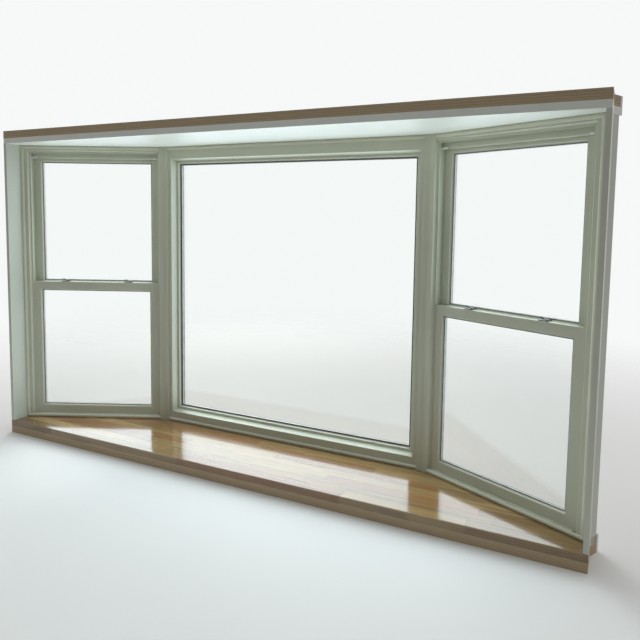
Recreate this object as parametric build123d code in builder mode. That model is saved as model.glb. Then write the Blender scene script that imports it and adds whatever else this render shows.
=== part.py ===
"""Bay window: a fixed centre window between two double-hung side windows, set between a seat and a head board.

The bay stands out of a wall. X runs along the wall, +Y points out of the room and Z is up. The origin is at the
middle of the width, on the plane of the wall's outside face, on the underside of the seat.
"""

from build123d import *
import os
from math import cos, radians, sin, tan

os.makedirs("parts", exist_ok=True)

# The bay's plan and height, along the line where the inner faces of the windows stand
opening_height = 1524.0
centre_width = 1515.0
side_width = 792.0
bend = 25.0
return_depth = 88.0
wall_thickness = 116.0

# Boards that box the windows in
seat_thickness = 32.0
seat_base_thickness = 38.0
head_thickness = 28.0
head_cap_thickness = 38.0
jamb_board_thickness = 19.0
seat_nose_radius = 5.0
deck_margin = 7.0
fascia_thickness = 12.0

# The window frames, one depth for all three
frame_depth = 83.0
wall_gap = 8.0
mullion_gap = 2.0
face_width = 25.0
bevel_width = 6.0
bevel_depth = 10.0
frame_leg = 40.0
track_floor = 36.0
track_stop = 13.0
parting_rib = 1.2
outer_lip = 5.2
head_bar_depth = 12.0
head_bar_drop = 26.0
head_bar_bevel = 4.0
sill_leg = 21.0
sill_floor = 17.0
sill_toe = 9.0

# The double-hung sashes and their insulated glass
sash_clearance = 0.4
side_clearance = 1.0
sight_margin = 84.0
head_margin = 85.0
sill_margin = 70.0
meeting_flat = 42.0
meeting_top = 773.0
upper_rail_rise = 5.0
bead_width = 5.0
bead_depth = 9.0
pane_thickness = 3.0
sash_lip = 3.0
glass_bite = 8.0
glass_clearance = 0.5
spacer_width = 10.0
spacer_sight = 3.5

# The fixed centre window
centre_face = 48.0
centre_head_face = 64.0
centre_sill_face = 54.0
reveal_depth = 34.0
reveal_splay = 9.0
step_width = 12.0
step_depth = 1.5
centre_bead_width = 3.5
centre_bead_depth = 13.0
centre_glass_thickness = 24.0
centre_pane_thickness = 4.0
centre_spacer_sight = 7.0

# Trim inside and out
trim_width = 18.0
trim_proud = 6.0
trim_edge = 1.5
cover_leg = 29.0
cover_proud = 7.0
cover_round = 4.0
outer_cover_overlap = 18.0
outer_cover_thickness = 6.0

# Sash locks, two to each side window
lock_length = 46.0
lock_width = 16.0
lock_height = 4.0
lock_hub_radius = 6.5
lock_hub_height = 5.0
lock_hub_offset = 14.0
lever_reach = 34.0
lever_low = 9.0
lever_slope = 8.0
lever_width = 8.0
lever_thickness = 3.0
lever_rise = 16.0
lever_bend = 4.0
keeper_length = 40.0
keeper_depth = 6.5
keeper_height = 6.0

# Stops on the ends of the head bars, which keep the lower sashes off the bars
stop_length = 28.0
stop_height = 8.0
stop_depth = 9.0

turn_side = radians(bend)
half_centre = centre_width / 2
half_opening = half_centre + side_width * cos(turn_side)
bay_depth = return_depth + side_width * sin(turn_side)
room_y = -wall_thickness
seat_z = seat_base_thickness + seat_thickness
head_z = seat_z + opening_height
middle_z = seat_z + opening_height / 2
deck_out = frame_depth + deck_margin
unit_width = side_width - wall_gap - mullion_gap
centre_unit_width = centre_width - 2 * mullion_gap
half_height = opening_height / 2

# Two sashes and the rib between them share the frame's depth, and a sash's bead and lip hold its glass
track_depth = (frame_depth - track_stop - parting_rib - outer_lip) / 2
sash_thickness = track_depth - 2 * sash_clearance
sash_glass_thickness = sash_thickness - bead_depth - sash_lip

# A bar under each double-hung head fills the outer side of the inner track
inner_track_end = track_stop + track_depth
head_bar_front = inner_track_end - head_bar_depth
head_bar_foot = frame_leg + head_bar_drop

# Each window's way along the wall: minus one, none or one turn of the bend
turns = {"left": -1, "centre": 0, "right": 1}


def wall_corner(out, along=0.0):
    """Plan point at the right side window's wall end, out of its inner face and along it towards the mullion."""
    x = half_opening + out * sin(turn_side) - along * cos(turn_side)
    y = room_y + return_depth + out * cos(turn_side) + along * sin(turn_side)
    return (x, y)


def mullion_corner(out):
    """Plan point where the right side window and the centre window meet, this far out of their inner faces."""
    return (half_centre + out * tan(turn_side / 2), room_y + bay_depth + out)


def mullion_point(across, out):
    """Plan point from the right mullion's corner, across and out along the line that halves the bend."""
    x, y = mullion_corner(0)
    half_turn = turn_side / 2
    return (
        x + across * cos(half_turn) + out * sin(half_turn),
        y - across * sin(half_turn) + out * cos(half_turn),
    )


def window_plane(name, out=0.0):
    """Plane of a window's inner face, seen from the room: x along its width and y up from its middle."""
    turn = turn_side * turns[name]
    if turns[name]:
        along = (mullion_gap - wall_gap) / 2 * turns[name]
        x = (half_opening + half_centre) / 2 * turns[name] + along * cos(turn)
        y = room_y + (return_depth + bay_depth) / 2 - along * sin(turn)
    else:
        x = 0.0
        y = room_y + bay_depth
    plane = Plane(origin=(x, y, middle_z), x_dir=(cos(turn), -sin(turn), 0), z_dir=(-sin(turn), -cos(turn), 0))
    return plane.offset(-out)


def deck_outline(out):
    """Right half of the plan of a board that runs from the room face out past the windows."""
    board_end = half_opening + jamb_board_thickness
    return [
        (0, room_y),
        (board_end, room_y),
        (board_end, room_y + return_depth + jamb_board_thickness / tan(turn_side)),
        wall_corner(out),
        mullion_corner(out),
        (0, room_y + bay_depth + out),
    ]


def save(piece, label):
    """Name a finished piece and write it to its own file."""
    piece.part.label = label
    export_step(piece.part, "parts/" + label + ".step")


# Seat: a laminated board with an eased front edge, on a base that closes the bay underneath
deck_bands = {
    "seat_base": (0.0, seat_base_thickness),
    "seat_board": (seat_base_thickness, seat_z),
    "head_board": (head_z, head_z + head_thickness),
    "head_cap": (head_z + head_thickness, head_z + head_thickness + head_cap_thickness),
}
for label, (low, high) in deck_bands.items():
    with BuildPart() as deck:
        with BuildSketch(Plane.XY.offset(low)):
            with BuildLine():
                Polyline(*deck_outline(deck_out))
                mirror(about=Plane.YZ)
            make_face()
        extrude(amount=high - low)
        if label == "seat_board":
            front_edge = deck.edges().filter_by(Axis.X).group_by(Axis.Y)[0].sort_by(Axis.Z)[-1]
            fillet(front_edge, seat_nose_radius)
    save(deck, label)

# Fascias: one mitred band round the outside edge of the seat and one round the head
fascia_bands = {"seat_fascia": (0.0, seat_z), "head_fascia": (head_z, head_z + head_thickness + head_cap_thickness)}
for label, (low, high) in fascia_bands.items():
    with BuildPart() as fascia:
        with BuildSketch(Plane.XY.offset(low)):
            with BuildLine():
                Polyline(
                    wall_corner(deck_out),
                    wall_corner(deck_out + fascia_thickness),
                    mullion_corner(deck_out + fascia_thickness),
                    (0, room_y + bay_depth + deck_out + fascia_thickness),
                )
                Polyline(wall_corner(deck_out), mullion_corner(deck_out), (0, room_y + bay_depth + deck_out))
                mirror(about=Plane.YZ)
            make_face()
        extrude(amount=high - low)
    save(fascia, label)

# Jamb boards: the flat returns beside the side windows, each with a tongue that fills the gap to the frame
with BuildPart() as right_jamb_board:
    with BuildSketch(Plane.XY.offset(seat_z)):
        with BuildLine():
            Polyline(
                (half_opening, room_y),
                (half_opening + jamb_board_thickness, room_y),
                (half_opening + jamb_board_thickness, room_y + return_depth + jamb_board_thickness / tan(turn_side)),
                wall_corner(frame_depth),
                wall_corner(frame_depth, wall_gap),
                wall_corner(0, wall_gap),
                (half_opening, room_y + return_depth),
                close=True,
            )
        make_face()
    extrude(amount=opening_height)
save(right_jamb_board, "right_jamb_board")

with BuildPart() as left_jamb_board:
    mirror(right_jamb_board.part, about=Plane.YZ)
save(left_jamb_board, "left_jamb_board")


def track_profile():
    """Section of a double-hung jamb or head: in from the frame's edge and out of the room, with two sash tracks."""
    outer_start = inner_track_end + parting_rib
    outer_end = outer_start + track_depth
    return [
        (0, 0),
        (face_width, 0),
        (face_width + bevel_width, bevel_depth),
        (frame_leg, bevel_depth),
        (frame_leg, track_stop),
        (track_floor, track_stop),
        (track_floor, inner_track_end),
        (frame_leg, inner_track_end),
        (frame_leg, outer_start),
        (track_floor, outer_start),
        (track_floor, outer_end),
        (frame_leg, outer_end),
        (frame_leg, frame_depth),
        (0, frame_depth),
    ]


def sill_profile():
    """Section of a double-hung sill: an inner leg, the lower sash's seat and a slope that sheds water."""
    return [
        (0, 0),
        (sill_leg, 0),
        (sill_leg, track_stop),
        (sill_floor, track_stop),
        (sill_floor, inner_track_end),
        (sill_leg, inner_track_end),
        (sill_leg, inner_track_end + parting_rib),
        (sill_toe, frame_depth),
        (0, frame_depth),
    ]


def head_bar_profile():
    """Section of the bar under a double-hung head, with a bevel between its face and its underside."""
    return [
        (track_floor, head_bar_front),
        (head_bar_foot - head_bar_bevel, head_bar_front),
        (head_bar_foot, head_bar_front + head_bar_bevel),
        (head_bar_foot, inner_track_end),
        (track_floor, inner_track_end),
    ]


def fixed_profile(face):
    """Section of the fixed frame: a flat face, a splayed reveal, a rebate for the glass and its bead, and a lip."""
    reveal = face + reveal_splay
    sight = reveal + step_width + centre_bead_width
    glass_out = reveal_depth + step_depth + centre_bead_depth + centre_glass_thickness
    return [
        (0, 0),
        (face, 0),
        (reveal, reveal_depth),
        (reveal, glass_out),
        (sight, glass_out),
        (sight, frame_depth),
        (0, frame_depth),
    ]


def frame_member(name, side, profile, half_width, faces):
    """One straight member of a window frame, cut from its profile and mitred, or butted where the faces differ."""
    face = window_plane(name)
    up = face.y_dir
    across = face.x_dir
    outward = face.z_dir * -1
    # Each side: the way in from the frame's edge, the way along the member, its edge's middle and its half length
    ways = {
        "head": (up * -1, across, up * half_height, half_width),
        "sill": (up, across, up * -half_height, half_width),
        "left_jamb": (across, up, across * -half_width, half_height),
        "right_jamb": (across * -1, up, across * half_width, half_height),
    }
    inward, along, edge, half_length = ways[side]
    section_plane = Plane(origin=face.origin + edge - along * half_length, x_dir=inward, z_dir=inward.cross(outward))
    towards = 1 if section_plane.z_dir.dot(along) > 0 else -1
    with BuildPart() as member:
        with BuildSketch(section_plane):
            with BuildLine():
                Polyline(*profile, close=True)
            make_face()
        extrude(amount=towards * 2 * half_length)
        for end in (-1, 1):
            corner = face.origin + edge + along * (end * half_length)
            level = side in ("head", "sill")
            meets = side if level else ("head" if end > 0 else "sill")
            if meets == "sill" and name != "centre":
                if level:
                    split(bisect_by=Plane(origin=corner - along * (end * frame_leg), z_dir=along * -end), keep=Keep.TOP)
                continue
            step = faces[meets] - faces["left_jamb"]
            start = corner + inward * step if level else corner - along * (end * step)
            split(bisect_by=Plane(origin=start, z_dir=along * -end - inward), keep=Keep.TOP)
        if side == "head" and name != "centre":
            with BuildSketch(section_plane.offset(towards * track_floor)):
                with BuildLine():
                    Polyline(*head_bar_profile(), close=True)
                make_face()
            extrude(amount=towards * 2 * (half_length - track_floor))
    return member


for name in turns:
    if name == "centre":
        faces = {"head": centre_head_face, "sill": centre_sill_face, "left_jamb": centre_face, "right_jamb": centre_face}
        profiles = {side: fixed_profile(face) for side, face in faces.items()}
        half_width = centre_unit_width / 2
    else:
        faces = {"head": frame_leg, "sill": sill_leg, "left_jamb": frame_leg, "right_jamb": frame_leg}
        profiles = {side: sill_profile() if side == "sill" else track_profile() for side in faces}
        half_width = unit_width / 2
    for side, profile in profiles.items():
        save(frame_member(name, side, profile, half_width, faces), name + "_frame_" + side)


def rectangle_on(plane, half_width, low, high):
    """A rectangle on a window's plane, as wide to its left as to its right and from low to high."""
    with BuildSketch(plane) as rectangle:
        with Locations((0, (low + high) / 2)):
            Rectangle(2 * half_width, high - low)
    return rectangle.sketch


def bevelled_hole(front, back, half_width, low, high, spread):
    """The two ends of a hole that widens by the spread towards the front."""
    return [
        rectangle_on(front, half_width + spread, low - spread, high + spread),
        rectangle_on(back, half_width, low, high),
    ]


# Sashes: each a welded ring with a bevelled glazing bead and a rebate for its insulated glass
sash_edge = track_floor + side_clearance
sash_half_width = unit_width / 2 - sash_edge
sight_half_width = unit_width / 2 - sight_margin
meeting_y = meeting_top - half_height
meeting_foot = meeting_y - meeting_flat - bead_width
inner_track = track_stop + sash_clearance
outer_track = inner_track + track_depth + parting_rib
# Each sash: how far out its front stands, its bottom and top edges, and the bottom and top of its sight line
sashes = {
    "lower": (
        inner_track,
        (sill_floor + side_clearance - half_height, meeting_y),
        (sill_margin - half_height, meeting_foot),
    ),
    "upper": (
        outer_track,
        (meeting_foot, half_height - sash_edge),
        (meeting_y + upper_rail_rise, half_height - head_margin),
    ),
}
for name in ("left", "right"):
    for level, (out, edges, sights) in sashes.items():
        front = window_plane(name, out)
        glass_front = front.offset(-bead_depth)
        rebate = (sights[0] - glass_bite, sights[1] + glass_bite)
        with BuildPart() as sash:
            extrude(rectangle_on(front, sash_half_width, *edges), amount=-sash_thickness)
            extrude(rectangle_on(front, sight_half_width, *sights), amount=-sash_thickness, mode=Mode.SUBTRACT)
            loft(bevelled_hole(front, glass_front, sight_half_width, *sights, bead_width), mode=Mode.SUBTRACT)
            extrude(
                rectangle_on(glass_front, sight_half_width + glass_bite, *rebate),
                amount=-sash_glass_thickness,
                mode=Mode.SUBTRACT,
            )
        save(sash, name + "_" + level + "_sash")


def insulated_glass(plane, half_width, low, high, thickness, pane):
    """Two panes of glass, held apart by the spacer's depth, that reach into the rebate round them."""
    bite = glass_bite - glass_clearance
    with BuildPart() as glass:
        for start in (0, thickness - pane):
            extrude(rectangle_on(plane.offset(-start), half_width + bite, low - bite, high + bite), amount=-pane)
    return glass


def spacer_ring(plane, half_width, low, high, thickness, pane, sight):
    """The metal spacer between two panes, a ring that shows a little inside the sight line."""
    outer = spacer_width - sight
    inner = -sight
    start = plane.offset(-pane)
    depth = thickness - 2 * pane
    with BuildPart() as spacer:
        extrude(rectangle_on(start, half_width + outer, low - outer, high + outer), amount=-depth)
        extrude(
            rectangle_on(start, half_width + inner, low - inner, high + inner), amount=-depth, mode=Mode.SUBTRACT
        )
    return spacer


for name in ("left", "right"):
    with BuildPart() as spacers:
        for level, (out, edges, sights) in sashes.items():
            plane = window_plane(name, out + bead_depth)
            size = (sight_half_width, *sights, sash_glass_thickness, pane_thickness)
            save(insulated_glass(plane, *size), name + "_" + level + "_glass")
            add(spacer_ring(plane, *size, spacer_sight).part)
    save(spacers, name + "_glass_spacers")

# The fixed window's glass, and the bead that holds it: a flat step and then a steep bevel
bead_ledge = step_width + centre_bead_width
centre_inset = reveal_splay + bead_ledge
centre_sight_half = centre_unit_width / 2 - centre_face - centre_inset
centre_sights = (centre_sill_face + centre_inset - half_height, half_height - centre_head_face - centre_inset)
bead_front = window_plane("centre", reveal_depth)
bead_step = bead_front.offset(-step_depth)
centre_glass_plane = bead_step.offset(-centre_bead_depth)
size = (centre_sight_half, *centre_sights, centre_glass_thickness, centre_pane_thickness)
save(insulated_glass(centre_glass_plane, *size), "centre_glass")
save(spacer_ring(centre_glass_plane, *size, centre_spacer_sight), "centre_glass_spacer")

with BuildPart() as centre_glazing_bead:
    outer = (centre_sights[0] - bead_ledge, centre_sights[1] + bead_ledge)
    step = (
        centre_sight_half + centre_bead_width,
        centre_sights[0] - centre_bead_width,
        centre_sights[1] + centre_bead_width,
    )
    whole_depth = step_depth + centre_bead_depth
    extrude(rectangle_on(bead_front, centre_sight_half + bead_ledge, *outer), amount=-whole_depth)
    loft(bevelled_hole(bead_front, bead_step, *step, step_width), mode=Mode.SUBTRACT)
    loft(
        bevelled_hole(bead_step, centre_glass_plane, centre_sight_half, *centre_sights, centre_bead_width),
        mode=Mode.SUBTRACT,
    )
save(centre_glazing_bead, "centre_glazing_bead")

# Mullions: a wedge-shaped post between two windows, with a cover strip inside and another outside
half_turn = turn_side / 2
post_in = (mullion_gap * cos(half_turn), -mullion_gap * sin(half_turn))
post_out = (
    post_in[0] + frame_depth * sin(half_turn),
    post_in[1] + frame_depth * cos(half_turn),
)
with BuildPart() as right_mullion_post:
    with BuildSketch(Plane.XY.offset(seat_z)):
        with BuildLine():
            Polyline(
                mullion_point(0, 0),
                mullion_point(*post_in),
                mullion_point(*post_out),
                mullion_point(-post_out[0], post_out[1]),
                mullion_point(-post_in[0], post_in[1]),
                close=True,
            )
        make_face()
    extrude(amount=opening_height)
save(right_mullion_post, "right_mullion_post")

with BuildPart() as left_mullion_post:
    mirror(right_mullion_post.part, about=Plane.YZ)
save(left_mullion_post, "left_mullion_post")

# The inside cover is a bent strip with a leg along each window's face
leg_end = (cover_leg * cos(half_turn), -cover_leg * sin(half_turn))
leg_front = (leg_end[0] - cover_proud * sin(half_turn), leg_end[1] - cover_proud * cos(half_turn))
with BuildPart() as right_mullion_cover:
    with BuildSketch(Plane.XY.offset(seat_z)):
        with BuildLine():
            Polyline(
                mullion_point(0, 0),
                mullion_point(*leg_end),
                mullion_point(*leg_front),
                mullion_point(0, -cover_proud / cos(half_turn)),
                mullion_point(-leg_front[0], leg_front[1]),
                mullion_point(-leg_end[0], leg_end[1]),
                close=True,
            )
        make_face()
    extrude(amount=opening_height)
    front_ends = [mullion_point(*leg_front), mullion_point(-leg_front[0], leg_front[1])]
    uprights = right_mullion_cover.edges().filter_by(Axis.Z)
    room_edges = [uprights.sort_by_distance((x, y, middle_z))[0] for x, y in front_ends]
    fillet(room_edges, cover_round)
save(right_mullion_cover, "right_mullion_cover")

with BuildPart() as left_mullion_cover:
    mirror(right_mullion_cover.part, about=Plane.YZ)
save(left_mullion_cover, "left_mullion_cover")

# The outer cover lies on the windows' outer faces across the gap between them
outer_in = (
    post_out[0] + outer_cover_overlap * cos(half_turn),
    post_out[1] - outer_cover_overlap * sin(half_turn),
)
with BuildPart() as right_outer_cover:
    outer_edge = (
        outer_in[0] + outer_cover_thickness * sin(half_turn),
        outer_in[1] + outer_cover_thickness * cos(half_turn),
    )
    with BuildSketch(Plane.XY.offset(seat_z)):
        with BuildLine():
            Polyline(
                mullion_point(*post_out),
                mullion_point(*outer_in),
                mullion_point(*outer_edge),
                mullion_corner(frame_depth + outer_cover_thickness),
                mullion_point(-outer_edge[0], outer_edge[1]),
                mullion_point(-outer_in[0], outer_in[1]),
                mullion_point(-post_out[0], post_out[1]),
                close=True,
            )
        make_face()
    extrude(amount=opening_height)
save(right_outer_cover, "right_mullion_outer_cover")

with BuildPart() as left_outer_cover:
    mirror(right_outer_cover.part, about=Plane.YZ)
save(left_outer_cover, "left_mullion_outer_cover")


def trim_strip(start, along, board, face, length):
    """A strip of trim from a start point, lying in the corner between a board and a window's face."""
    with BuildPart() as strip:
        with BuildSketch(Plane(origin=start, x_dir=board, z_dir=board.cross(face))):
            with BuildLine():
                Polyline((0, trim_edge), (0, 0), (trim_width, 0), (trim_width, trim_edge))
                ThreePointArc((trim_width, trim_edge), (trim_width / 2, trim_proud), (0, trim_edge))
            make_face()
        extrude(amount=length if board.cross(face).dot(along) > 0 else -length)
    return strip


# Inside trim: half-round strips along the seat, the head board and the jamb boards, stopped by the mullion covers
trim_ends = wall_gap + trim_proud * tan(turn_side)
for label, height, rise in (("seat_trim", -half_height, 1), ("head_trim", half_height, -1)):
    with BuildPart() as trim:
        for name, turn in turns.items():
            face = window_plane(name)
            if turn:
                ends = (turn * (unit_width / 2 + trim_ends), turn * (cover_leg - unit_width / 2 - mullion_gap))
            else:
                ends = (cover_leg - half_centre, half_centre - cover_leg)
            low_x, high_x = sorted(ends)
            start = face.origin + face.x_dir * low_x + face.y_dir * height
            add(trim_strip(start, face.x_dir, face.y_dir * rise, face.z_dir, high_x - low_x).part)
        for solid in (right_jamb_board, left_jamb_board):
            add(solid.part, mode=Mode.SUBTRACT)
    save(trim, label)

with BuildPart() as jamb_trim:
    for name in ("left", "right"):
        face = window_plane(name)
        inward = face.x_dir * -turns[name]
        start = face.origin - inward * (unit_width / 2 + trim_ends) - face.y_dir * (half_height - trim_width)
        height = opening_height - 2 * trim_width
        strip = trim_strip(start, face.y_dir, inward, face.z_dir, height)
        add(strip.part)
    for solid in (right_jamb_board, left_jamb_board):
        add(solid.part, mode=Mode.SUBTRACT)
save(jamb_trim, "jamb_trim")

# Sash locks on the lower sashes' meeting rails, each a base with a hub and a lever that rises to its tail
lever_foot = lock_height + lock_hub_height - lever_thickness / 2
lever_top = lever_rise - lever_thickness / 2
with BuildPart() as sash_locks:
    for name in ("left", "right"):
        rail_top = window_plane(name, inner_track + sash_thickness / 2)
        for quarter in (-1, 1):
            middle = rail_top.origin + rail_top.x_dir * (quarter * sash_half_width / 2) + rail_top.y_dir * meeting_y
            seat = Plane(origin=middle, x_dir=rail_top.x_dir, z_dir=rail_top.y_dir)
            with BuildSketch(seat):
                SlotOverall(lock_length, lock_width)
            extrude(amount=lock_height)
            with BuildSketch(seat.offset(lock_height)):
                with Locations((lock_hub_offset, 0)):
                    Circle(lock_hub_radius)
            extrude(amount=lock_hub_height)
            with BuildSketch(Plane(origin=middle, x_dir=rail_top.x_dir, z_dir=rail_top.z_dir)):
                with BuildLine():
                    FilletPolyline(
                        (lock_hub_offset, lever_foot),
                        (lock_hub_offset - lever_low, lever_foot),
                        (lock_hub_offset - lever_low - lever_slope, lever_top),
                        (lock_hub_offset - lever_reach, lever_top),
                        radius=lever_bend,
                    )
                trace(line_width=lever_thickness)
            extrude(amount=lever_width / 2, both=True)
save(sash_locks, "sash_locks")

# Lock keepers: wedges that lie on the bevel over the upper sashes' meeting rails, behind the locks
keeper_slope = bead_width / bead_depth
keeper_foot = upper_rail_rise - bead_width
with BuildPart() as lock_keepers:
    for name in ("left", "right"):
        rail_front = window_plane(name, outer_track)
        for quarter in (-1, 1):
            side = quarter * sash_half_width / 2 - keeper_length / 2
            end = rail_front.origin + rail_front.x_dir * side + rail_front.y_dir * meeting_y
            section = Plane(origin=end, x_dir=rail_front.z_dir * -1, z_dir=rail_front.x_dir)
            rise = 1 if section.y_dir.Z > 0 else -1
            with BuildSketch(section):
                with BuildLine():
                    Polyline(
                        (0, rise * keeper_foot),
                        (0, rise * keeper_height),
                        (keeper_depth, rise * keeper_height),
                        (keeper_depth, rise * (keeper_foot + keeper_depth * keeper_slope)),
                        close=True,
                    )
                make_face()
            extrude(amount=keeper_length)
save(lock_keepers, "lock_keepers")

# Sash stops: a block on the face of each end of the head bars
with BuildPart() as sash_stops:
    for name in ("left", "right"):
        front = window_plane(name, head_bar_front - stop_depth)
        for side in (-1, 1):
            middle = side * (unit_width / 2 - track_floor - stop_length / 2)
            with BuildSketch(front):
                with Locations((middle, half_height - head_bar_foot + stop_height / 2)):
                    Rectangle(stop_length, stop_height)
            extrude(amount=-stop_depth)
save(sash_stops, "sash_stops")
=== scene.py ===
"""Bay window: the finish of its boards, frames, glass and hardware, and the seals that CAD leaves out."""

import math
import random

import bmesh
import bpy
from bpy.props import FloatProperty, FloatVectorProperty, IntProperty, PointerProperty
from mathutils import Matrix, Vector


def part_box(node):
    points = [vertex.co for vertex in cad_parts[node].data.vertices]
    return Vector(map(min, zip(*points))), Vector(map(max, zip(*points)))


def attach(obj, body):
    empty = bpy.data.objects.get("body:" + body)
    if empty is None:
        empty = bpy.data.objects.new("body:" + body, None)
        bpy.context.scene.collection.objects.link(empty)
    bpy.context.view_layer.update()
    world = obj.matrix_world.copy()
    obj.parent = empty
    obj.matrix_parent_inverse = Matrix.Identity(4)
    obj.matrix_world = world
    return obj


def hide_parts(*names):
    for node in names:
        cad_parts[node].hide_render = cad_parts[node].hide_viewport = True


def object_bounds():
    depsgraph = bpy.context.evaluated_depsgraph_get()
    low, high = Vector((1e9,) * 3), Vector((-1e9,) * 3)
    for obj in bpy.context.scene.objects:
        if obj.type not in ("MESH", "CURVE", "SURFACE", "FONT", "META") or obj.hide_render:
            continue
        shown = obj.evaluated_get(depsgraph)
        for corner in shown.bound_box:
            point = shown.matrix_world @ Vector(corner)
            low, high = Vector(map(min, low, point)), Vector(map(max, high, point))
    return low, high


bl_info = {
    "name": "Bay window",
    "version": (1, 0, 0),
    "blender": (4, 5, 0),
    "location": "3D View > Sidebar > Bay window",
    "description": "Finishes the boards, frames, glass and hardware of a bay window",
    "category": "Object",
}

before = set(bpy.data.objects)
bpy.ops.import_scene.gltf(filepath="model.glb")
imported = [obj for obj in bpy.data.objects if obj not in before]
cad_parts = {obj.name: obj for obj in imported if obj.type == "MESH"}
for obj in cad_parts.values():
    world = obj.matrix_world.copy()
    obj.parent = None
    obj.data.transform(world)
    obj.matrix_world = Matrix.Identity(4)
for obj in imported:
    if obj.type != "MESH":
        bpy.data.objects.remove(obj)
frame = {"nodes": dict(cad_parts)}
cad_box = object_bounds()

SIDES = ("left", "right")
WINDOWS = ("left", "centre", "right")
MEMBERS = ("head", "sill", "left_jamb", "right_jamb")

# Each glass node, with the node that holds its spacer
PANES = {
    side + "_" + level + "_glass": side + "_glass_spacers" for side in SIDES for level in ("lower", "upper")
}
PANES["centre_glass"] = "centre_glass_spacer"

ALONG_WALL = Vector((1.0, 0.0, 0.0))
OUTWARD = Vector((0.0, 1.0, 0.0))
UP = Vector((0.0, 0.0, 1.0))
MM = 0.001


def colour_property(name, description, default):
    """A colour that a user can change."""
    return FloatVectorProperty(
        name=name, description=description, default=default, subtype="COLOR", size=3, min=0.0, max=1.0
    )


def length_property(name, description, default):
    """A length in metres that a user can change."""
    return FloatProperty(
        name=name, description=description, default=default, unit="LENGTH", min=0.0, precision=4
    )


def place_property(name, description, default):
    """A point in metres that a user can change."""
    return FloatVectorProperty(name=name, description=description, default=default, subtype="TRANSLATION")


def turn_property(name, description, degrees):
    """An angle that a user can change."""
    return FloatProperty(
        name=name, description=description, default=math.radians(degrees), subtype="ANGLE"
    )


def level_property(name, description, default):
    """A strength that a user can change."""
    return FloatProperty(name=name, description=description, default=default, min=0.0)


def power_property(name, description, default):
    """The power of a lamp, in watts, that a user can change."""
    return FloatProperty(name=name, description=description, default=default, unit="POWER", min=0.0)


class SeatSettings(bpy.types.PropertyGroup):
    """Sizes and colours of the laminated seat."""

    strip_width: length_property("Strip width", "Width of one strip of the seat", 0.057)
    shortest: length_property("Shortest strip", "Length of the shortest strip", 0.45)
    longest: length_property("Longest strip", "Length of the longest strip", 1.25)
    joint: length_property("Joint bevel", "Width of the fine bevel along a strip", 0.0004)
    nose: length_property("Nose radius", "Radius of the seat's eased front edge", 0.005)
    lean: turn_property("Lean", "How far one strip may lean from the next", 1.72)
    pattern: IntProperty(name="Pattern", description="Picks the lengths and tones of the strips", default=11)
    honey: colour_property("Honey", "The palest strips", (0.375, 0.243, 0.090))
    amber: colour_property("Amber", "The darkest strips", (0.158, 0.080, 0.021))
    russet: colour_property("Russet", "The reddest strips", (0.255, 0.104, 0.029))
    grain: colour_property("Grain", "The pores and late wood", (0.050, 0.024, 0.008))


class PlasticSettings(bpy.types.PropertyGroup):
    """Colours of the frames, sashes, trim and seals. The frame and trim colours are white plastic darkened
    into painted shade.
    """

    # Painted shade: white plastic given as a darker grey green, for the backlit room-side faces
    frame: colour_property("Frame", "The frames, sashes and covers", (0.550, 0.568, 0.448))
    # Painted shade too: the trim's white plastic, darkened a little less than the frames
    trim: colour_property("Trim", "The trim strips", (0.66, 0.675, 0.535))
    stop: colour_property("Stop", "The sash stops", (0.86, 0.86, 0.83))
    lip: colour_property("Lip", "The soft lips against the glass", (0.52, 0.54, 0.47))
    edge_round: length_property("Edge round", "Radius of the edges of frames and sashes", 0.0007)


class BoardSettings(bpy.types.PropertyGroup):
    """Colours of the painted boards, the base and the cap. The jamb boards' colour is the pale paint darkened
    into painted shade.
    """

    paint: colour_property("Paint", "The head board", (0.82, 0.835, 0.76))
    # Painted shade: the head board's pale paint, given darker and greener for the jamb boards
    shaded_jamb_paint: colour_property("Jamb paint", "The jamb boards", (0.58, 0.60, 0.51))
    cladding: colour_property("Cladding", "The fascias and the outside covers", (0.80, 0.80, 0.77))
    veneer: colour_property("Veneer", "The faces of the base and the cap", (0.50, 0.39, 0.25))
    ply: colour_property("Ply", "The darker layers at their edges", (0.33, 0.23, 0.13))


class MetalSettings(bpy.types.PropertyGroup):
    """Colours of the spacers and the locks. The locks' near-black colour is painted shade."""

    spacer: colour_property("Spacer", "The spacers between the panes", (0.60, 0.62, 0.63))
    # Painted shade: the locks are most likely pale enamel, given near black as they stand dark against the
    # light
    lock: colour_property("Lock", "The sash locks and their keepers", (0.17, 0.165, 0.150))


class GlassSettings(bpy.types.PropertyGroup):
    """Colour of the glass and sizes of its seals."""

    tint: colour_property("Tint", "The glass", (0.985, 1.0, 0.992))
    bite: length_property("Bite", "How far the glass reaches behind its bead", 0.0075)
    lip_reach: length_property("Lip reach", "How far a soft lip reaches in over the glass", 0.0014)
    lip_height: length_property("Lip height", "How far a soft lip stands off the glass", 0.0012)
    butyl: colour_property("Butyl", "The black sealant between spacers and panes", (0.055, 0.057, 0.060))
    butyl_width: length_property("Butyl width", "How wide the sealant is", 0.009)
    butyl_squeeze: length_property("Butyl squeeze", "How far the sealant is squeezed out", 0.0005)
    butyl_film: length_property("Butyl film", "How far the sealant bites into the face of a pane", 0.00005)


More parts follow.
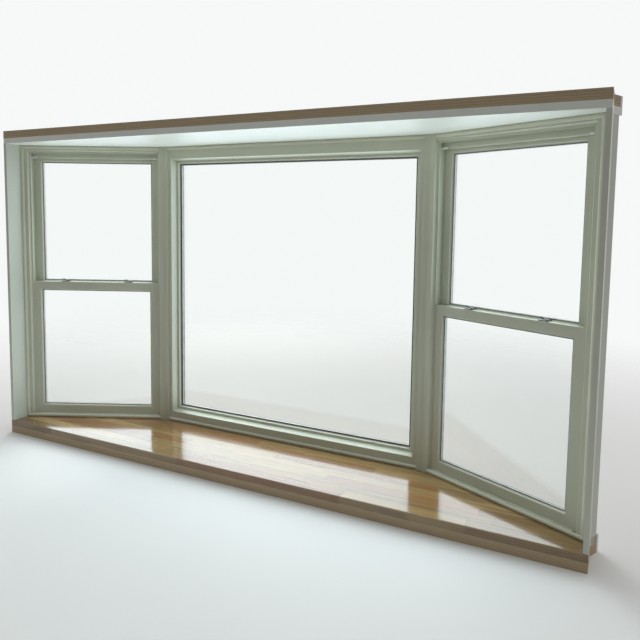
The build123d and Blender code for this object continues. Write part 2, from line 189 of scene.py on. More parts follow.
class StageSettings(bpy.types.PropertyGroup):
    """The floor, the background, the lamps and the camera."""

    floor: colour_property("Floor", "The floor", (0.84, 0.84, 0.83))
    floor_radius: length_property("Floor radius", "How far the floor reaches", 7.0)
    fade_start: length_property("Fade start", "Where the floor starts to fade", 1.12)
    fade_end: length_property("Fade end", "Where the floor has faded out", 5.25)
    backdrop: colour_property("Backdrop", "What shows behind the object", (0.93, 0.94, 0.94))
    room_light: level_property("Room light", "Soft light from the room side", 0.17)
    sky_light: level_property("Sky light", "Soft light from outside and above", 1.0)
    sky: colour_property("Sky", "The light that comes in through the windows", (0.74, 0.90, 1.0))
    daylight: level_property("Daylight", "How bright the windows shine in", 1.6)
    stand_off: length_property("Stand-off", "How far inside the glass its daylight starts", 0.004)
    margin: length_property("Margin", "How far daylight stays from the edges of a pane", 0.011)
    room_lamp: power_property("Room lamp", "Soft lamp on the room side", 6.0)
    room_lamp_place: place_property("Room lamp place", "Where that lamp is", (-1.6, -4.2, 3.4))
    room_lamp_size: length_property("Room lamp size", "How wide that lamp is", 3.2)
    outer_lamp: power_property("Outside lamp", "Soft lamp outside", 95.0)
    outer_lamp_place: place_property("Outside lamp place", "Where that lamp is", (-2.6, 3.8, 2.6))
    outer_lamp_size: length_property("Outside lamp size", "How wide that lamp is", 2.8)
    eye: place_property("Eye", "Where the camera stands", (1.5756, -2.3455, 1.2183))
    heading: turn_property("Heading", "Turn to the left of straight out", 26.07)
    tilt: turn_property("Tilt", "Tilt up", -4.93)
    roll: turn_property("Roll", "Turn about the view", 0.90)
    lens: FloatProperty(
        name="Lens", description="Focal length for the sensor", default=34.53, subtype="DISTANCE_CAMERA"
    )
    sensor: FloatProperty(
        name="Sensor", description="Width of the sensor", default=36.0, subtype="DISTANCE_CAMERA"
    )
    shift_x: FloatProperty(name="Shift across", description="Shift of the picture across", default=-0.0181)
    shift_y: FloatProperty(name="Shift up", description="Shift of the picture up", default=-0.0754)


class Value:
    """One output socket of a finish, with Python's operators adding the Math nodes."""

    def __init__(self, finish, socket):
        self.finish = finish
        self.socket = socket

    def math(self, operation, *values):
        return self.finish.node("ShaderNodeMath", {"operation": operation}, dict(enumerate(values)))

    def __add__(self, other):
        return self.math("ADD", self, other)

    def __radd__(self, other):
        return self.math("ADD", other, self)

    def __sub__(self, other):
        return self.math("SUBTRACT", self, other)

    def __rsub__(self, other):
        return self.math("SUBTRACT", other, self)

    def __mul__(self, other):
        return self.math("MULTIPLY", self, other)

    def __rmul__(self, other):
        return self.math("MULTIPLY", other, self)

    def __abs__(self):
        return self.math("ABSOLUTE", self)

    def __lt__(self, other):
        return self.math("LESS_THAN", self, other)

    def __gt__(self, other):
        return self.math("GREATER_THAN", self, other)

    def sine(self):
        return self.math("SINE", self)

    def ping_pong(self, size):
        return self.math("PINGPONG", self, size)


class Finish:
    """A material, or the world, in the making: its nodes, and the ways that they are joined."""

    def __init__(self, name, home="materials"):
        self.block = getattr(bpy.data, home).new(name)
        self.block.use_nodes = True
        self.tree = self.block.node_tree
        self.tree.nodes.clear()

    def node(self, kind, settings=None, sockets=None, out=0):
        """Add a node: its settings first, then the values or links of its sockets, by name or number."""
        made = self.tree.nodes.new(kind)
        for key, value in (settings or {}).items():
            setattr(made, key, value)
        for key, value in (sockets or {}).items():
            if isinstance(value, Value):
                self.tree.links.new(value.socket, made.inputs[key])
            else:
                made.inputs[key].default_value = value
        return Value(self, made.outputs[out])

    def place(self):
        """Where the surface is, in metres in the frame of the whole object."""
        return self.node("ShaderNodeTexCoord", out="Object")

    def facing(self):
        """The way the surface faces."""
        return self.node("ShaderNodeNewGeometry", out="Normal")

    def attribute(self, name):
        """A number that the mesh holds for each face."""
        return self.node("ShaderNodeAttribute", {"attribute_name": name}, out="Fac")

    def vector(self, operation, first, second, out=0):
        """Vector Math on two vectors."""
        return self.node("ShaderNodeVectorMath", {"operation": operation}, {0: first, 1: second}, out)

    def along(self, direction, vector=None):
        """How far along a direction the surface, or a vector, lies."""
        return self.vector("DOT_PRODUCT", vector or self.place(), tuple(direction), "Value")

    def join(self, x, y, z):
        """A vector of three values."""
        return self.node("ShaderNodeCombineXYZ", None, {0: x, 1: y, 2: z})

    def mix(self, factor, first, second):
        """A colour between two colours."""
        sockets = {0: factor, 6: opaque(first), 7: opaque(second)}
        return self.node("ShaderNodeMix", {"data_type": "RGBA"}, sockets, 2)

    def clouded(self, colour, darkest, cloud, low, high):
        """A colour that darkens to a share of itself as a value goes from low to high."""
        shade = tuple(channel * darkest for channel in colour)
        return self.mix(self.ramp(cloud, low, high), colour, shade)

    def noise(self, vector, detail, distortion=0.0):
        """Noise of about one bump to each unit of the vector."""
        sockets = {"Vector": vector, "Scale": 1.0, "Detail": detail, "Distortion": distortion}
        return self.node("ShaderNodeTexNoise", None, sockets)

    def bumps(self, per_metre, detail=3.0, place=None, distortion=0.0):
        """Noise of so many bumps to a metre, one number or one for each axis."""
        scales = per_metre if isinstance(per_metre, tuple) else (per_metre,) * 3
        return self.noise(self.vector("MULTIPLY", place or self.place(), scales), detail, distortion)

    def lines(self, ways, per_metre, detail):
        """Noise of so many bumps to a metre along each of three directions."""
        reaches = [self.along(way) * scale for way, scale in zip(ways, per_metre)]
        return self.noise(self.join(*reaches), detail)

    def ramp(self, value, low, high):
        """A soft step from 0 at the low value to 1 at the high one."""
        settings = {"interpolation_type": "SMOOTHSTEP"}
        return self.node("ShaderNodeMapRange", settings, {0: value, 1: low, 2: high})

    def bump(self, height, depth):
        """A normal that follows a height of up to this depth in metres."""
        return self.node("ShaderNodeBump", None, {"Height": height, "Distance": depth, "Strength": 1.0})

    def surface(self, **sockets):
        """End in a plain surface. A socket's words are joined by underlines."""
        named = {key.replace("_", " "): value for key, value in sockets.items()}
        named["Base Color"] = opaque(named["Base Color"])
        return self.end(self.node("ShaderNodeBsdfPrincipled", None, named))

    def end(self, shader, output="ShaderNodeOutputMaterial"):
        """Show a shader on the surface, or all round."""
        made = self.tree.nodes.new(output)
        self.tree.links.new(shader.socket, made.inputs["Surface"])
        return self.block


def opaque(colour):
    """A colour of three numbers with an alpha of one, or a link as it is."""
    return colour if isinstance(colour, Value) else (*tuple(colour)[:3], 1.0)


class Standing:
    """The directions and reach of a CAD node that stands in a window's plane, or of a slice of it."""

    def __init__(self, node, within=None, out=None):
        mesh = frame["nodes"][node].data
        self.out = out or self.facing(mesh)
        self.across = Vector((self.out.y, -self.out.x, 0.0))
        self.corners = [vertex.co.copy() for vertex in mesh.vertices]
        if within:
            low, high = within
            self.corners = [corner for corner in self.corners if low - MM < corner.dot(self.out) < high + MM]
        self.left, self.right = self.reach(self.across)
        self.front, self.back = self.reach(self.out)
        self.bottom, self.top = self.reach(UP)

    def facing(self, mesh):
        """The way out of the room that the largest upright face looks along."""
        largest = max(mesh.polygons, key=lambda face: face.area * (abs(face.normal.z) < 0.1))
        out = Vector((largest.normal.x, largest.normal.y, 0.0)).normalized()
        return out if out.y > 0 else -out

    def reach(self, direction):
        """The least and the most that the corners reach along a direction."""
        values = [corner.dot(direction) for corner in self.corners]
        return min(values), max(values)

    def steps(self, direction):
        """The different distances of the corners along a direction, in order, rounded to 0.01 mm."""
        return sorted({round(corner.dot(direction), 5) for corner in self.corners})

    def at(self, across, up, out):
        """The point at these distances along the three directions."""
        return self.across * across + UP * up + self.out * out


def finish_node(node, material):
    """Give a CAD node its material."""
    slots = frame["nodes"][node].data.materials
    slots.clear()
    slots.append(material)


def add_piece(name, shape, material, sharp=30.0):
    """Make a piece of a bmesh, with its material, and fasten it to the bay."""
    mesh = bpy.data.meshes.new(name)
    bmesh.ops.recalc_face_normals(shape, faces=shape.faces)
    shape.to_mesh(mesh)
    shape.free()
    mesh.polygons.foreach_set("use_smooth", [True] * len(mesh.polygons))
    mesh.set_sharp_from_angle(angle=math.radians(sharp))
    mesh.materials.append(material)
    piece = bpy.data.objects.new(name, mesh)
    bpy.context.scene.collection.objects.link(piece)
    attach(piece, "root")
    return piece


def mitred_ring(shape, standing, edges, profile):
    """Add a ring with mitred corners to a bmesh.

    The edges are its left, right, bottom and top. The profile's points lie in from them and out of the room.
    """
    left, right, bottom, top = edges
    rows = []
    for inward, out in profile:
        corners = (
            (left + inward, bottom + inward),
            (right - inward, bottom + inward),
            (right - inward, top - inward),
            (left + inward, top - inward),
        )
        rows.append([shape.verts.new(standing.at(across, up, out)) for across, up in corners])
    for row, following in zip(rows, rows[1:] + rows[:1]):
        for corner in range(4):
            beside = (corner + 1) % 4
            shape.faces.new((row[corner], row[beside], following[beside], following[corner]))


def cut_outline(outline, axis, limit, side):
    """The part of a flat outline that lies on one side, 1 or -1, of a limit along an axis."""
    kept = []
    for start, end in zip(outline, outline[1:] + outline[:1]):
        before = side * (start[axis] - limit)
        after = side * (end[axis] - limit)
        if before >= 0:
            kept.append(start)
        if before * after < 0:
            share = before / (before - after)
            kept.append(tuple(a + (b - a) * share for a, b in zip(start, end)))
    return kept


def outline_area(outline):
    """The area of a flat outline."""
    return abs(sum(a[0] * b[1] - b[0] * a[1] for a, b in zip(outline, outline[1:] + outline[:1]))) / 2


def ways_along(along):
    """A direction and two across it, neither of which lies in a face of a board or frame."""
    side = along.cross(Vector((0.3, 0.9, 0.2))).normalized()
    return along, side, along.cross(side)


# Noise of the finishes, in bumps to a metre: along the grain or the length, and then twice across it
WOOD_BROAD = (1.3, 16.0, 16.0)
WOOD_STREAKS = (2.2, 95.0, 95.0)
WOOD_PORES = (7.0, 330.0, 330.0)
WOOD_SWELL = (3.0, 9.0, 9.0)
EXTRUSION_LINES = (1.5, 420.0, 420.0)
BRUSH_STROKES = (5.0, 260.0, 260.0)
PAINTED_GRAIN = (2.0, 40.0, 40.0)
BOARD_GRAIN = (2.0, 55.0, 55.0)
BOARD_FIBRES = (14.0, 500.0, 500.0)

# Noise of the outside's metal sheets, in bumps to a metre: level both ways, and then upwards
SHEET_WAVES = (2.2, 2.2, 6.0)
SHEET_CLOUDS = (1.7, 1.7, 5.0)

# The seat's year rings, in radians: how far they turn in a metre, and how far the broad grain bends them
RING_RATE = 150.0
RING_BEND = 30.0

# How far a strip's own number moves its grain along each axis, in metres
STRIP_MOVES = (9.0, 5.0, 3.0)

# Depths of bump, in metres
WOOD_DEPTH = 0.0006
PLASTIC_DEPTH = 0.00012
PAINT_DEPTH = 0.00022
BOARD_DEPTH = 0.0004
SHEET_DEPTH = 0.0012
METAL_DEPTH = 0.00005
SEAL_DEPTH = 0.0001

# Thickness of the layers of the base and the cap, and where a dark one starts and is full, in metres
LAYER = 0.0046
LAYER_EDGE = (0.0018, 0.0027)

# Where the groove of a welded seam starts to rise, and where it ends, in metres from its middle
SEAM_EDGE = (0.0002, 0.0007)


def seat_wood(settings):
    """Honey-coloured strips under a clear gloss coat, with grain along them and a tone to each strip."""
    finish = Finish("seat_wood")
    tone = finish.attribute("strip_tone")
    shift = finish.attribute("strip_shift")
    moved = finish.vector("ADD", finish.place(), finish.join(*(shift * distance for distance in STRIP_MOVES)))
    broad = finish.bumps(WOOD_BROAD, 4.0, moved, distortion=0.4)
    streak = finish.bumps(WOOD_STREAKS, 4.0, moved)
    fine = finish.bumps(WOOD_PORES, 3.0, moved)
    swell = finish.bumps(WOOD_SWELL, 1.0, moved)
    rings = (finish.along(OUTWARD, moved) * RING_RATE + broad * RING_BEND).sine() * 0.5 + 0.5
    pores = finish.ramp(fine, 0.56, 0.70)
    late = finish.ramp(rings, 0.55, 1.0) * finish.ramp(broad, 0.35, 0.6)
    base = finish.mix(tone, settings.honey, settings.amber)
    red = finish.mix(finish.ramp(shift, 0.56, 0.74) * 0.8, base, settings.russet)
    warm = finish.mix(finish.ramp(streak, 0.3, 0.75) * 0.45, red, settings.amber)
    ringed = finish.mix(late * 0.35, warm, settings.grain)
    # A strip's own number, folded seven times, gives a lean that doesn't go with its colour
    lean = (shift * 7.0).ping_pong(1.0) - 0.5
    slope = finish.along(OUTWARD) * lean * (settings.lean / WOOD_DEPTH)
    return finish.surface(
        Base_Color=finish.mix(pores * 0.35, ringed, settings.grain),
        Roughness=finish.ramp(streak, 0.2, 0.8) * 0.1 + 0.12,
        Normal=finish.bump(swell + slope - pores * 0.05, WOOD_DEPTH),
        Coat_Weight=0.85,
        Coat_Roughness=0.07,
    )


def satin_plastic(finish, colour, height):
    """End a finish in satin plastic, a little clouded, with fine pebbles on top of a height."""
    pebble = finish.bumps(700.0, 2.0)
    return finish.surface(
        Base_Color=finish.clouded(colour, 0.93, finish.bumps(3.0), 0.35, 0.7),
        Roughness=pebble * 0.10 + 0.30,
        Normal=finish.bump(height + pebble * 0.25, PLASTIC_DEPTH),
    )


def extruded_plastic(name, colour, ways):
    """Satin plastic with faint lines along the first of three ways."""
    finish = Finish(name)
    return satin_plastic(finish, colour, finish.lines(ways, EXTRUSION_LINES, 2.0) * 0.35)


def level_plastic(name, colour):
    """Satin plastic with faint level lines, for strips that run several ways."""
    return extruded_plastic(name, colour, (Vector(), UP, Vector()))


def welded_plastic(name, colour, node):
    """Satin plastic for a welded ring, with faint lines along its members and a seam across each corner."""
    finish = Finish(name)
    ring = Standing(node)
    beside = abs(finish.along(ring.across) - (ring.left + ring.right) / 2)
    above = abs(finish.along(UP) - (ring.bottom + ring.top) / 2)
    half_width = (ring.right - ring.left) / 2
    half_height = (ring.top - ring.bottom) / 2
    # The mitre value is the distance to the nearer stile less that to the nearer rail
    mitre = (half_width - beside) - (half_height - above)
    stile = mitre < 0.0
    uprights = finish.lines((UP, ring.across, ring.out), EXTRUSION_LINES, 2.0)
    levels = finish.lines((ring.across, UP, ring.out), EXTRUSION_LINES, 2.0)
    seam = 1.0 - finish.ramp(abs(mitre), *SEAM_EDGE)
    return satin_plastic(finish, colour, (uprights * stile + levels * (1.0 - stile)) * 0.35 - seam)


def painted_wood(name, colour, along):
    """Satin paint with brush strokes along the board and the faint grain of the wood under it."""
    finish = Finish(name)
    ways = ways_along(along)
    strokes = finish.lines(ways, BRUSH_STROKES, 3.0)
    grain = finish.lines(ways, PAINTED_GRAIN, 3.0)
    return finish.surface(
        Base_Color=finish.clouded(colour, 0.92, finish.bumps(2.5), 0.3, 0.75),
        Roughness=strokes * 0.14 + 0.36,
        Normal=finish.bump(strokes * 0.7 + grain * 0.6, PAINT_DEPTH),
    )


def layered_board(settings):
    """Bare board: veneer grain on its faces and glued layers at its edges."""
    finish = Finish("layered_board")
    grain = finish.bumps(BOARD_GRAIN, 5.0, distortion=0.6)
    fine = finish.bumps(BOARD_FIBRES, 3.0)
    layer = finish.ramp(finish.along(UP).ping_pong(LAYER), *LAYER_EDGE)
    edge = abs(finish.along(UP, finish.facing())) < 0.5
    face = finish.mix(finish.ramp(grain, 0.35, 0.75) * 0.6, settings.veneer, settings.ply)
    layers = finish.mix(layer * 0.5 + fine * 0.2, settings.veneer, settings.ply)
    return finish.surface(
        Base_Color=finish.mix(edge, face, layers),
        Roughness=0.62 + fine * 0.2,
        Normal=finish.bump(grain * 0.6 + fine * 0.4 - layer * edge * 0.6, BOARD_DEPTH),
    )


def painted_sheet(colour):
    """Coil-painted metal sheet that isn't quite flat."""
    finish = Finish("outside_cladding")
    wave = finish.bumps(SHEET_WAVES, 2.0)
    pebble = finish.bumps(450.0, 2.0)
    return finish.surface(
        Base_Color=finish.clouded(colour, 0.9, finish.bumps(SHEET_CLOUDS, 4.0), 0.35, 0.75),
        Roughness=pebble * 0.12 + 0.34,
        Normal=finish.bump(wave + pebble * 0.04, SHEET_DEPTH),
    )


def clear_glass(settings):
    """Float glass that lets the light of lamps straight through."""
    finish = Finish("clear_glass")
    tint = opaque(settings.tint)
    sockets = {"Base Color": tint, "Roughness": 0.0, "IOR": 1.5, "Transmission Weight": 1.0}
    glass = finish.node("ShaderNodeBsdfPrincipled", None, sockets)
    clear = finish.node("ShaderNodeBsdfTransparent", None, {"Color": tint})
    shadow = finish.node("ShaderNodeLightPath", out="Is Shadow Ray")
    return finish.end(finish.node("ShaderNodeMixShader", None, {0: shadow, 1: glass, 2: clear}))


def fine_metal(name, colour, metallic, roughness, per_metre):
    """Milled metal or cast enamel, with so many fine pebbles to a metre."""
    finish = Finish(name)
    pebble = finish.bumps(per_metre)
    return finish.surface(
        Base_Color=finish.clouded(colour, 0.82, finish.bumps(30.0), 0.35, 0.7),
        Metallic=metallic,
        Roughness=pebble * 0.15 + roughness,
        Normal=finish.bump(pebble, METAL_DEPTH),
    )


def soft_seal(name, colour, per_metre):
    """Soft plastic or sealant, dull and a little uneven, drawn out upwards."""
    finish = Finish(name)
    pebble = finish.bumps((per_metre, per_metre, per_metre * 0.2))
    return finish.surface(
        Base_Color=finish.clouded(colour, 0.7, pebble, 0.3, 0.7),
        Roughness=pebble * 0.2 + 0.55,
        Normal=finish.bump(pebble, SEAL_DEPTH),
    )


def round_edges(node, radius):
    """Ease the edges of a CAD node's frame or sash where it is shown."""
    piece = frame["nodes"][node]
    weld = piece.modifiers.new("weld", "WELD")
    weld.merge_threshold = MM / 100
    bevel = piece.modifiers.new("eased_edges", "BEVEL")
    bevel.width = radius
    bevel.segments = 2
    bevel.limit_method = "ANGLE"
    bevel.angle_limit = math.radians(20)
    bevel.harden_normals = True


class BAY_OT_seat(bpy.types.Operator):
    """Lay the seat of strips, each with its own tone and grain."""

    bl_idname = "bay.seat"
    bl_label = "Seat strips"

    def execute(self, context):
        settings = context.scene.bay_seat
        low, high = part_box("seat_board")
        shape = self.lay_strips(settings, low, high)
        self.ease_edges(shape, settings, low, high)
        strips = add_piece("seat_strips", shape, seat_wood(settings))
        flat = strips.modifiers.new("flat_faces", "WEIGHTED_NORMAL")
        flat.keep_sharp = True
        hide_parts("seat_board")
        return {"FINISHED"}

    def outline(self, low, high):
        """The corners of the seat board's underside, in order round it."""
        vertices = frame["nodes"]["seat_board"].data.vertices
        corners = {(round(v.co.x, 5), round(v.co.y, 5)) for v in vertices if v.co.z < low.z + MM}
        middle_y = (low.y + high.y) / 2
        return sorted(corners, key=lambda corner: math.atan2(corner[1] - middle_y, corner[0]))

    def lay_strips(self, settings, low, high):
        """Fill the seat board's outline with rows of strips, each of which holds its own tone and shift."""
        outline = self.outline(low, high)
        pick = random.Random(settings.pattern)
        shape = bmesh.new()
        tones = shape.faces.layers.float.new("strip_tone")
        shifts = shape.faces.layers.float.new("strip_shift")
        for row in range(math.ceil((high.y - low.y) / settings.strip_width)):
            near = low.y + row * settings.strip_width
            band = cut_outline(cut_outline(outline, 1, near, 1), 1, near + settings.strip_width, -1)
            start = low.x - pick.uniform(0.0, settings.longest)
            while start < high.x:
                end = start + pick.uniform(settings.shortest, settings.longest)
                strip = cut_outline(cut_outline(band, 0, start, 1), 0, end, -1)
                start = end
                # The power makes pale strips a little more common than dark ones
                tone = pick.random() ** 1.3
                shift = pick.random()
                if len(strip) < 3 or outline_area(strip) < MM * MM:
                    continue
                for face in self.add_strip(shape, strip, low.z, high.z):
                    face[tones] = tone
                    face[shifts] = shift
        return shape

    def add_strip(self, shape, strip, bottom, top):
        """Add a strip of a flat outline between two heights, and give its faces."""
        base = [shape.verts.new((x, y, bottom)) for x, y in strip]
        lid = [shape.verts.new((x, y, top)) for x, y in strip]
        faces = [shape.faces.new(base[::-1]), shape.faces.new(lid)]
        for corner in range(len(strip)):
            beside = (corner + 1) % len(strip)
            faces.append(shape.faces.new((base[corner], base[beside], lid[beside], lid[corner])))
        return faces

    def ease_edges(self, shape, settings, low, high):
        """Round the seat's front edge, and then bevel the joints between the strips."""
        nose = [
            edge
            for edge in shape.edges
            if all(v.co.z > high.z - MM and v.co.y < low.y + MM for v in edge.verts)
        ]
        bmesh.ops.bevel(shape, geom=nose, offset=settings.nose, segments=4, profile=0.5, affect="EDGES")
        joints = [
            edge
            for edge in shape.edges
            if all(v.co.z > high.z - MM / 10 for v in edge.verts) and edge.calc_face_angle(0.0) > 1.0
        ]
        bmesh.ops.bevel(shape, geom=joints, offset=settings.joint, segments=1, affect="EDGES")


class BAY_OT_boards(bpy.types.Operator):
    """Paint the head board and the jamb boards, and finish the base, the cap, the posts and the outside."""

    bl_idname = "bay.boards"
    bl_label = "Boards and cladding"

    def execute(self, context):
        settings = context.scene.bay_boards
        finish_node("head_board", painted_wood("head_paint", settings.paint, ALONG_WALL))
        # The jamb boards' darker paint is painted shade
        shaded_jamb_paint = painted_wood("shaded_jamb_paint", settings.shaded_jamb_paint, UP)
        board = layered_board(settings)
        sheet = painted_sheet(settings.cladding)
        for side in SIDES:
            finish_node(side + "_jamb_board", shaded_jamb_paint)
            finish_node(side + "_mullion_post", board)
            finish_node(side + "_mullion_outer_cover", sheet)
        for node in ("seat_base", "head_cap"):
            finish_node(node, board)
        for node in ("seat_fascia", "head_fascia"):
            finish_node(node, sheet)
        return {"FINISHED"}


class BAY_OT_windows(bpy.types.Operator):
    """Finish the frames, sashes, covers and trim in satin plastic, and ease the edges of most."""

    bl_idname = "bay.windows"
    bl_label = "Frames and sashes"

    def execute(self, context):
        settings = context.scene.bay_plastic
        # The frame colour carries painted shade for the backlit plastic
        upright = extruded_plastic("plastic_upright", settings.frame, ways_along(UP))
        for window in WINDOWS:
            across = Standing(window + "_frame_head").across
            level = extruded_plastic("plastic_level_" + window, settings.frame, ways_along(across))
            for member in MEMBERS:
                node = window + "_frame_" + member
                finish_node(node, upright if "jamb" in member else level)
                round_edges(node, settings.edge_round)
        rings = {"centre_glazing_bead": "plastic_bead"}
        for side in SIDES:
            finish_node(side + "_mullion_cover", upright)
            for sash in (side + "_lower_sash", side + "_upper_sash"):
                rings[sash] = "plastic_" + sash
        for node, name in rings.items():
            finish_node(node, welded_plastic(name, settings.frame, node))
            round_edges(node, settings.edge_round)
        finish_node("jamb_trim", extruded_plastic("trim_upright", settings.trim, ways_along(UP)))
        trim_level = level_plastic("trim_level", settings.trim)
        for node in ("seat_trim", "head_trim"):
            finish_node(node, trim_level)
        finish_node("sash_stops", extruded_plastic("stop_plastic", settings.stop, ways_along(UP)))
        return {"FINISHED"}


class BAY_OT_glass(bpy.types.Operator):
    """Make the glass clear, with soft lips against it and black butyl where the spacers meet its panes."""

    bl_idname = "bay.glass"
    bl_label = "Glass and seals"

    def execute(self, context):
        settings = context.scene.bay_glass
        glass = clear_glass(settings)
        lips = bmesh.new()
        butyl = bmesh.new()
        for node, spacer in PANES.items():
            finish_node(node, glass)
            pane = Standing(node)
            self.add_lips(lips, pane, settings)
            self.add_butyl(butyl, pane, spacer, settings)
        lip = soft_seal("glass_lip", context.scene.bay_plastic.lip, 600.0)
        add_piece("glass_lips", lips, lip, sharp=60.0)
        sealant = soft_seal("butyl", settings.butyl, 500.0)
        add_piece("butyl_lines", butyl, sealant, sharp=60.0)
        return {"FINISHED"}

    def add_lips(self, shape, pane, settings):
        """The lips between the beads and the glass, inside and outside."""
        bite = settings.bite
        reach = settings.lip_reach
        edges = (pane.left + bite, pane.right - bite, pane.bottom + bite, pane.top - bite)
        # Half a millimetre under the bead, then in over the glass, each with its share of the lip's height
        section = ((-MM / 2, 0.0), (-MM / 2, 0.9), (0.3 * reach, 1.0), (0.8 * reach, 0.6), (reach, 0.0))
        for face, side in ((pane.front, -1), (pane.back, 1)):
            height = side * settings.lip_height
            mitred_ring(shape, pane, edges, [(inward, face + height * rise) for inward, rise in section])

    def add_butyl(self, shape, pane, spacer, settings):
        """The sealant on a spacer's two shoulders, squeezed out a little at its inner edges."""
        inner_faces = pane.steps(pane.out)[1:3]
        ring = Standing(spacer, within=inner_faces, out=pane.out)
        edges = (*ring.steps(ring.across)[1:3], *ring.steps(UP)[1:3])
        squeeze = settings.butyl_squeeze
        film = settings.butyl_film
        section = (
            (-settings.butyl_width, -film),
            (squeeze, -film),
            (squeeze, 0.2 * squeeze),
            (0.3 * squeeze, squeeze),
            (-film, squeeze),
            (-film, film),
            (-settings.butyl_width, film),
        )
        for face, side in zip(inner_faces, (1, -1)):
            mitred_ring(shape, pane, edges, [(inward, face + side * rise) for inward, rise in section])


class BAY_OT_hardware(bpy.types.Operator):
    """Finish the spacers, the locks and their keepers."""

    bl_idname = "bay.hardware"
    bl_label = "Spacers and locks"

    def execute(self, context):
        settings = context.scene.bay_metal
        spacer = fine_metal("spacer_metal", settings.spacer, 1.0, 0.28, 900.0)
        for node in ("left_glass_spacers", "right_glass_spacers", "centre_glass_spacer"):
            finish_node(node, spacer)
        # The lock colour is painted shade, not the enamel's own colour
        lock = fine_metal("lock_enamel", settings.lock, 0.0, 0.25, 500.0)
        for node in ("sash_locks", "lock_keepers"):
            finish_node(node, lock)
        return {"FINISHED"}


def add_lamp(name, place, target, size, power, height=None):
    """A soft lamp that faces a point, square unless its height is given. Only gloss shows it."""
    lamp = bpy.data.lights.new(name, "AREA")
    lamp.shape = "RECTANGLE"
    lamp.size = size
    lamp.size_y = height or size
    lamp.energy = power
    holder = bpy.data.objects.new(name, lamp)
    holder.location = place
    holder.rotation_mode = "QUATERNION"
    holder.rotation_quaternion = (target - place).to_track_quat("-Z", "Y")
    holder.visible_camera = False
    holder.visible_transmission = False
    bpy.context.scene.collection.objects.link(holder)
    return holder


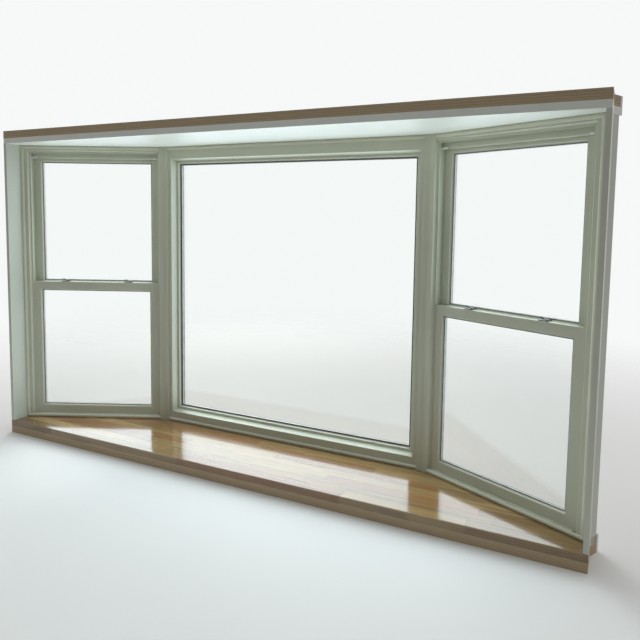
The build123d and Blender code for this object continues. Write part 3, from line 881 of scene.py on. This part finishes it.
class BAY_OT_stage(bpy.types.Operator):
    """Set up the floor, the background, the lamps and the camera."""

    bl_idname = "bay.stage"
    bl_label = "Stage"

    def execute(self, context):
        settings = context.scene.bay_stage
        context.scene.view_settings.view_transform = "Standard"
        self.add_floor(settings)
        self.light_world(settings)
        middle = (cad_box[0] + cad_box[1]) / 2
        add_lamp("room_lamp", settings.room_lamp_place, middle, settings.room_lamp_size, settings.room_lamp)
        add_lamp(
            "outer_lamp", settings.outer_lamp_place, middle, settings.outer_lamp_size, settings.outer_lamp
        )
        for node in PANES:
            self.add_daylight(node + "_daylight", Standing(node), settings)
        self.add_camera(settings)
        return {"FINISHED"}

    def add_floor(self, settings):
        """A round floor that fades into the background."""
        finish = Finish("floor")
        distance = finish.vector("DISTANCE", finish.place(), (0.0, 0.0, 0.0), "Value")
        fade = 1.0 - finish.ramp(distance, settings.fade_start, settings.fade_end)
        plain = finish.node("ShaderNodeBsdfDiffuse", None, {"Color": opaque(settings.floor)})
        clear = finish.node("ShaderNodeBsdfTransparent")
        material = finish.end(finish.node("ShaderNodeMixShader", None, {0: fade, 1: clear, 2: plain}))
        shape = bmesh.new()
        bmesh.ops.create_circle(shape, cap_ends=True, radius=settings.floor_radius, segments=96)
        mesh = bpy.data.meshes.new("floor")
        shape.to_mesh(mesh)
        shape.free()
        mesh.materials.append(material)
        floor = bpy.data.objects.new("floor", mesh)
        floor.location.z = cad_box[0].z
        bpy.context.scene.collection.objects.link(floor)

    def light_world(self, settings):
        """Soft light, dimmer on the room side, behind a pale background that gloss and glass show too."""
        world = Finish("world", "worlds")
        way = world.node("ShaderNodeTexCoord", out="Generated")
        # The open side lies outside and above
        open_side = world.ramp(world.along((0.0, 0.8, 0.6), way), -0.3, 0.75)
        level = open_side * (settings.sky_light - settings.room_light) + settings.room_light
        light = world.node("ShaderNodeBackground", None, {"Strength": level})
        backdrop = world.node("ShaderNodeBackground", None, {"Color": opaque(settings.backdrop)})
        camera = world.node("ShaderNodeLightPath", out="Is Camera Ray")
        gloss = world.node("ShaderNodeLightPath", out="Is Glossy Ray")
        through = world.node("ShaderNodeLightPath", out="Is Transmission Ray")
        seen = (camera + gloss + through) > 0.5
        mixed = world.node("ShaderNodeMixShader", None, {0: seen, 1: light, 2: backdrop})
        bpy.context.scene.world = world.end(mixed, "ShaderNodeOutputWorld")

    def add_daylight(self, name, pane, settings):
        """A lamp just inside a pane, as large as what shows of it, for the light that comes through it."""
        width = pane.right - pane.left - 2 * settings.margin
        height = pane.top - pane.bottom - 2 * settings.margin
        middle = ((pane.left + pane.right) / 2, (pane.bottom + pane.top) / 2)
        place = pane.at(*middle, pane.front - settings.stand_off)
        power = math.pi * width * height * settings.daylight
        lamp = add_lamp(name, place, place - pane.out, width, power, height)
        lamp.data.color = settings.sky

    def add_camera(self, settings):
        """The camera, at the photograph's viewing angle."""
        camera = bpy.data.cameras.new("camera")
        camera.lens = settings.lens
        camera.sensor_width = settings.sensor
        camera.shift_x = settings.shift_x
        camera.shift_y = settings.shift_y
        camera.clip_end = 60.0
        holder = bpy.data.objects.new("camera", camera)
        turn = Matrix.Rotation(settings.heading, 4, "Z")
        tilt = Matrix.Rotation(math.pi / 2 + settings.tilt, 4, "X")
        roll = Matrix.Rotation(settings.roll, 4, "Z")
        holder.matrix_world = Matrix.Translation(settings.eye) @ turn @ tilt @ roll
        bpy.context.scene.collection.objects.link(holder)
        bpy.context.scene.camera = holder


class BAY_PT_panel(bpy.types.Panel):
    """The bay window's steps and settings."""

    bl_idname = "BAY_PT_panel"
    bl_label = "Bay window"
    bl_space_type = "VIEW_3D"
    bl_region_type = "UI"
    bl_category = "Bay window"

    def draw(self, context):
        for group in SETTINGS:
            values = getattr(context.scene, group)
            box = self.layout.box()
            for name in values.__annotations__:
                box.prop(values, name)
        for operator in OPERATORS:
            self.layout.operator(operator.bl_idname)


SETTINGS = {
    "bay_seat": SeatSettings,
    "bay_plastic": PlasticSettings,
    "bay_boards": BoardSettings,
    "bay_metal": MetalSettings,
    "bay_glass": GlassSettings,
    "bay_stage": StageSettings,
}
OPERATORS = (BAY_OT_seat, BAY_OT_boards, BAY_OT_windows, BAY_OT_glass, BAY_OT_hardware, BAY_OT_stage)


def register():
    """Make the settings, the operators and the panel known."""
    for name, group in SETTINGS.items():
        bpy.utils.register_class(group)
        setattr(bpy.types.Scene, name, PointerProperty(type=group))
    for known in (*OPERATORS, BAY_PT_panel):
        bpy.utils.register_class(known)


def unregister():
    """Take them back."""
    for known in (BAY_PT_panel, *reversed(OPERATORS)):
        bpy.utils.unregister_class(known)
    for name, group in reversed(SETTINGS.items()):
        delattr(bpy.types.Scene, name)
        bpy.utils.unregister_class(group)


def main():
    register()
    bpy.ops.bay.seat()
    bpy.ops.bay.boards()
    bpy.ops.bay.windows()
    bpy.ops.bay.glass()
    bpy.ops.bay.hardware()
    bpy.ops.bay.stage()


if __name__ == "__main__":
    main()
